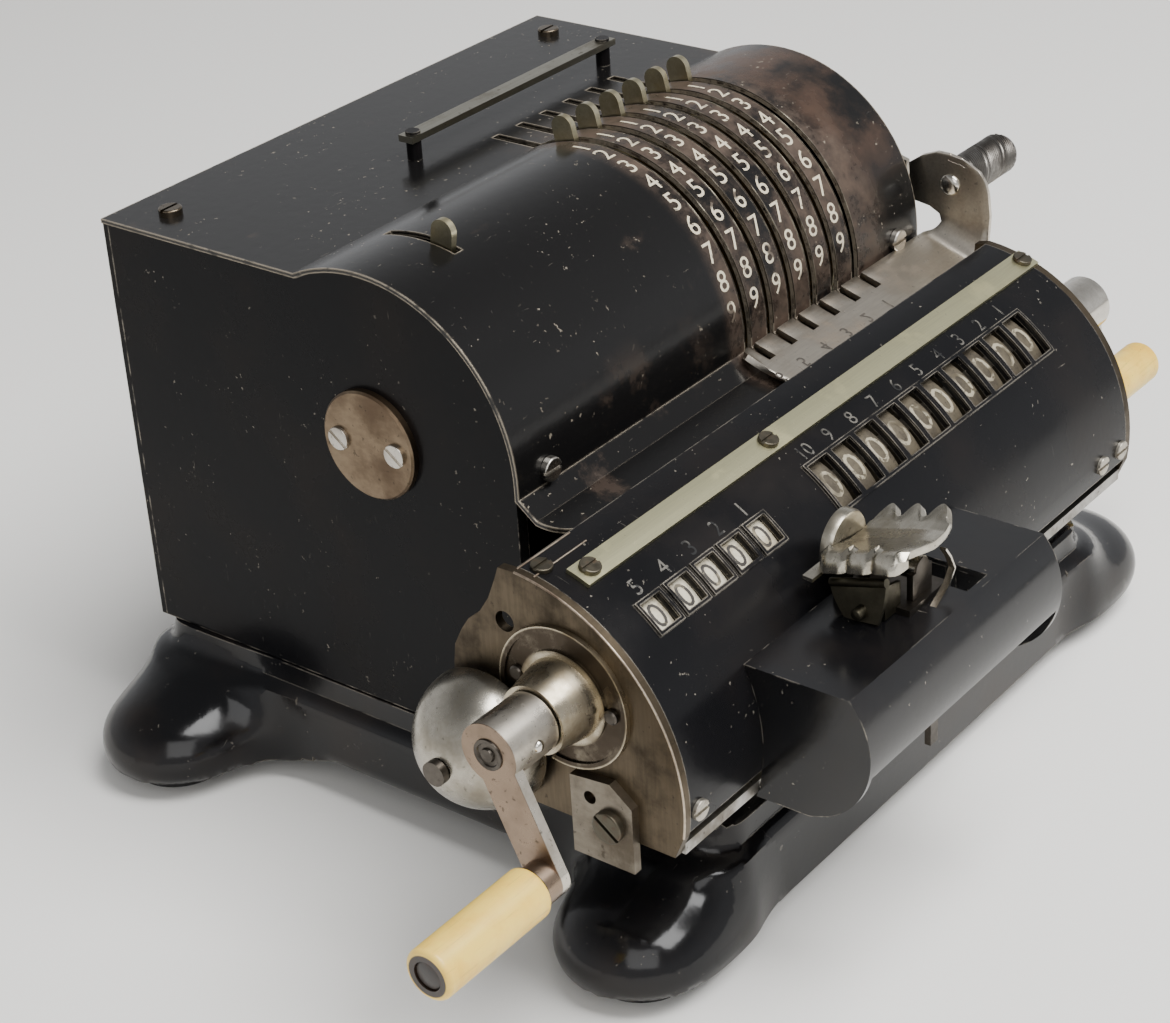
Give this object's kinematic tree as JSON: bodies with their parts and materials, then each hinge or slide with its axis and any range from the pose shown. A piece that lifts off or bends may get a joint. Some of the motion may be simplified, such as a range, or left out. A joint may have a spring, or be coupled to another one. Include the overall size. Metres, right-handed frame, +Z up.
{
  "type": "pinwheel calculator",
  "caption": "Desk pinwheel calculating machine: lever drum under a slotted cover, sliding register carriage, clearing cranks, bell and cast base.",
  "frame": {"origin": "under the middle of the outline, on the table that the rubber pads stand on", "axes": "+X to the operator's right along the drum, +Y to the rear, +Z up"},
  "size_m": [0.32, 0.2005, 0.1385],
  "materials": {
    "black_lacquer": "gloss",
    "worn_lacquer": "worn gloss",
    "cast_enamel": "gloss",
    "rubber_pad": "matte",
    "nickel": "worn satin",
    "bright_nickel": "polished",
    "bronze_plate": "tarnished satin",
    "screw_steel": "satin",
    "steel": "oiled satin",
    "brass_works": "tarnished satin",
    "bone": "satin",
    "dark_grip": "satin",
    "result_dial": "tarnished satin",
    "counter_dial": "satin"
  },
  "bodies": {
    "frame": {"base_casting": "cast_enamel", "foot_pads": "rubber_pad", "left_side_plate": "black_lacquer", "right_side_plate": "black_lacquer", "drum_cover": "worn_lacquer", "rear_panel": "black_lacquer", "frame_screws": "screw_steel", "axle_cap": "nickel", "drum_bushes": "steel", "decimal_rail": "nickel", "rail_posts": "black_lacquer", "inner_frame": "steel", "guide_rail": "steel"},
    "drum": {"drum_shaft": "steel", "pinwheel_discs": "brass_works", "main_crank": "nickel"},
    "drive_grip": {"main_grip": "dark_grip"},
    "count_setter": {"count_lever": "nickel"},
    "comb": {"clearing_comb": "nickel", "comb_knob": "nickel"},
    "transfer": {"transfer_gears": "brass_works"},
    "carriage": {"carriage_cover": "black_lacquer", "carriage_left_plate": "bronze_plate", "carriage_right_plate": "bronze_plate", "register_collars": "nickel", "cover_strip": "nickel", "carriage_screws": "screw_steel", "carriage_bed": "steel", "stop_plate": "nickel", "bell": "bright_nickel", "bell_post": "screw_steel", "shift_housing": "black_lacquer", "lever_bracket": "nickel"},
    "shift_rocker": {"shift_lever": "nickel"},
    "release": {"release_tab": "bright_nickel"},
    "counter_clearing": {"counter_crank": "bright_nickel"},
    "counter_handle": {"counter_grip": "bone"},
    "result_clearing": {"result_crank": "bright_nickel"},
    "result_handle": {"result_grip": "bone"},
    "setter_1": {"setting_lever_1": "nickel"},
    "setter_2": {"setting_lever_2": "nickel"},
    "setter_3": {"setting_lever_3": "nickel"},
    "setter_4": {"setting_lever_4": "nickel"},
    "setter_5": {"setting_lever_5": "nickel"},
    "setter_6": {"setting_lever_6": "nickel"},
    "result_01": {"result_wheel_01": "result_dial"},
    "result_02": {"result_wheel_02": "result_dial"},
    "result_03": {"result_wheel_03": "result_dial"},
    "result_04": {"result_wheel_04": "result_dial"},
    "result_05": {"result_wheel_05": "result_dial"},
    "result_06": {"result_wheel_06": "result_dial"},
    "result_07": {"result_wheel_07": "result_dial"},
    "result_08": {"result_wheel_08": "result_dial"},
    "result_09": {"result_wheel_09": "result_dial"},
    "result_10": {"result_wheel_10": "result_dial"},
    "counter_1": {"counter_wheel_1": "counter_dial"},
    "counter_2": {"counter_wheel_2": "counter_dial"},
    "counter_3": {"counter_wheel_3": "counter_dial"},
    "counter_4": {"counter_wheel_4": "counter_dial"},
    "counter_5": {"counter_wheel_5": "counter_dial"}
  },
  "joints": [
    {"name": "drum_turn", "type": "hinge", "parent": "frame", "child": "drum", "pos_m": [0, 0.02125, 0.095], "axis": [1, 0, 0], "continuous": true},
    {"name": "drive_grip_spin", "type": "hinge", "parent": "drum", "child": "drive_grip", "pos_m": [0.135, 0.02125, 0.045], "axis": [1, 0, 0], "continuous": true},
    {"name": "count_direction", "type": "hinge", "parent": "frame", "child": "count_setter", "pos_m": [-0.0548, 0.02125, 0.095], "axis": [-1, 0, 0], "range_deg": [0, 17]},
    {"name": "comb_lift", "type": "hinge", "parent": "frame", "child": "comb", "pos_m": [0.0795, 0.02125, 0.095], "axis": [-1, 0, 0], "range_deg": [0, 100]},
    {"name": "transfer_turn", "type": "hinge", "parent": "frame", "child": "transfer", "pos_m": [0, -0.02225, 0.0755], "axis": [1, 0, 0], "continuous": true},
    {"name": "carriage_slide", "type": "slide", "parent": "frame", "child": "carriage", "axis": [1, 0, 0], "range_m": [0, 0.0346]},
    {"name": "shift_rock", "type": "hinge", "parent": "carriage", "child": "shift_rocker", "pos_m": [-0.0405, -0.08275, 0.0824], "axis": [0, 1, 0], "range_deg": [-8, 8], "stiffness_Nm_per_rad": 0.03},
    {"name": "release_press", "type": "hinge", "parent": "carriage", "child": "release", "pos_m": [-0.0405, -0.07365, 0.079], "axis": [-1, 0, 0], "range_deg": [0, 12], "stiffness_Nm_per_rad": 0.02, "springref_deg": -5.73},
    {"name": "counter_clear", "type": "hinge", "parent": "carriage", "child": "counter_clearing", "pos_m": [-0.11, -0.04975, 0.0745], "axis": [1, 0, 0], "continuous": true},
    {"name": "counter_grip_spin", "type": "hinge", "parent": "counter_clearing", "child": "counter_handle", "pos_m": [-0.145, -0.06074, 0.05094], "axis": [1, 0, 0], "continuous": true},
    {"name": "result_clear", "type": "hinge", "parent": "carriage", "child": "result_clearing", "pos_m": [0.08, -0.04975, 0.0745], "axis": [1, 0, 0], "continuous": true},
    {"name": "result_grip_spin", "type": "hinge", "parent": "result_clearing", "child": "result_handle", "pos_m": [0.11, -0.05247, 0.04864], "axis": [1, 0, 0], "continuous": true},
    {"name": "setting_1", "type": "hinge", "parent": "drum", "child": "setter_1", "pos_m": [0.04805, 0.02125, 0.095], "axis": [1, 0, 0], "range_deg": [0, 90]},
    {"name": "setting_2", "type": "hinge", "parent": "drum", "child": "setter_2", "pos_m": [0.0394, 0.02125, 0.095], "axis": [1, 0, 0], "range_deg": [0, 90]},
    {"name": "setting_3", "type": "hinge", "parent": "drum", "child": "setter_3", "pos_m": [0.03075, 0.02125, 0.095], "axis": [1, 0, 0], "range_deg": [0, 90]},
    {"name": "setting_4", "type": "hinge", "parent": "drum", "child": "setter_4", "pos_m": [0.0221, 0.02125, 0.095], "axis": [1, 0, 0], "range_deg": [0, 90]},
    {"name": "setting_5", "type": "hinge", "parent": "drum", "child": "setter_5", "pos_m": [0.01345, 0.02125, 0.095], "axis": [1, 0, 0], "range_deg": [0, 90]},
    {"name": "setting_6", "type": "hinge", "parent": "drum", "child": "setter_6", "pos_m": [0.0048, 0.02125, 0.095], "axis": [1, 0, 0], "range_deg": [0, 90]},
    {"name": "result_turn_01", "type": "hinge", "parent": "carriage", "child": "result_01", "pos_m": [0.04805, -0.04975, 0.0745], "axis": [1, 0, 0], "continuous": true},
    {"name": "result_turn_02", "type": "hinge", "parent": "carriage", "child": "result_02", "pos_m": [0.0394, -0.04975, 0.0745], "axis": [1, 0, 0], "continuous": true},
    {"name": "result_turn_03", "type": "hinge", "parent": "carriage", "child": "result_03", "pos_m": [0.03075, -0.04975, 0.0745], "axis": [1, 0, 0], "continuous": true},
    {"name": "result_turn_04", "type": "hinge", "parent": "carriage", "child": "result_04", "pos_m": [0.0221, -0.04975, 0.0745], "axis": [1, 0, 0], "continuous": true},
    {"name": "result_turn_05", "type": "hinge", "parent": "carriage", "child": "result_05", "pos_m": [0.01345, -0.04975, 0.0745], "axis": [1, 0, 0], "continuous": true},
    {"name": "result_turn_06", "type": "hinge", "parent": "carriage", "child": "result_06", "pos_m": [0.0048, -0.04975, 0.0745], "axis": [1, 0, 0], "continuous": true},
    {"name": "result_turn_07", "type": "hinge", "parent": "carriage", "child": "result_07", "pos_m": [-0.00385, -0.04975, 0.0745], "axis": [1, 0, 0], "continuous": true},
    {"name": "result_turn_08", "type": "hinge", "parent": "carriage", "child": "result_08", "pos_m": [-0.0125, -0.04975, 0.0745], "axis": [1, 0, 0], "continuous": true},
    {"name": "result_turn_09", "type": "hinge", "parent": "carriage", "child": "result_09", "pos_m": [-0.02115, -0.04975, 0.0745], "axis": [1, 0, 0], "continuous": true},
    {"name": "result_turn_10", "type": "hinge", "parent": "carriage", "child": "result_10", "pos_m": [-0.0298, -0.04975, 0.0745], "axis": [1, 0, 0], "continuous": true},
    {"name": "counter_turn_1", "type": "hinge", "parent": "carriage", "child": "counter_1", "pos_m": [-0.0548, -0.04975, 0.0745], "axis": [1, 0, 0], "continuous": true},
    {"name": "counter_turn_2", "type": "hinge", "parent": "carriage", "child": "counter_2", "pos_m": [-0.06345, -0.04975, 0.0745], "axis": [1, 0, 0], "continuous": true},
    {"name": "counter_turn_3", "type": "hinge", "parent": "carriage", "child": "counter_3", "pos_m": [-0.0721, -0.04975, 0.0745], "axis": [1, 0, 0], "continuous": true},
    {"name": "counter_turn_4", "type": "hinge", "parent": "carriage", "child": "counter_4", "pos_m": [-0.08075, -0.04975, 0.0745], "axis": [1, 0, 0], "continuous": true},
    {"name": "counter_turn_5", "type": "hinge", "parent": "carriage", "child": "counter_5", "pos_m": [-0.0894, -0.04975, 0.0745], "axis": [1, 0, 0], "continuous": true}
  ]
}
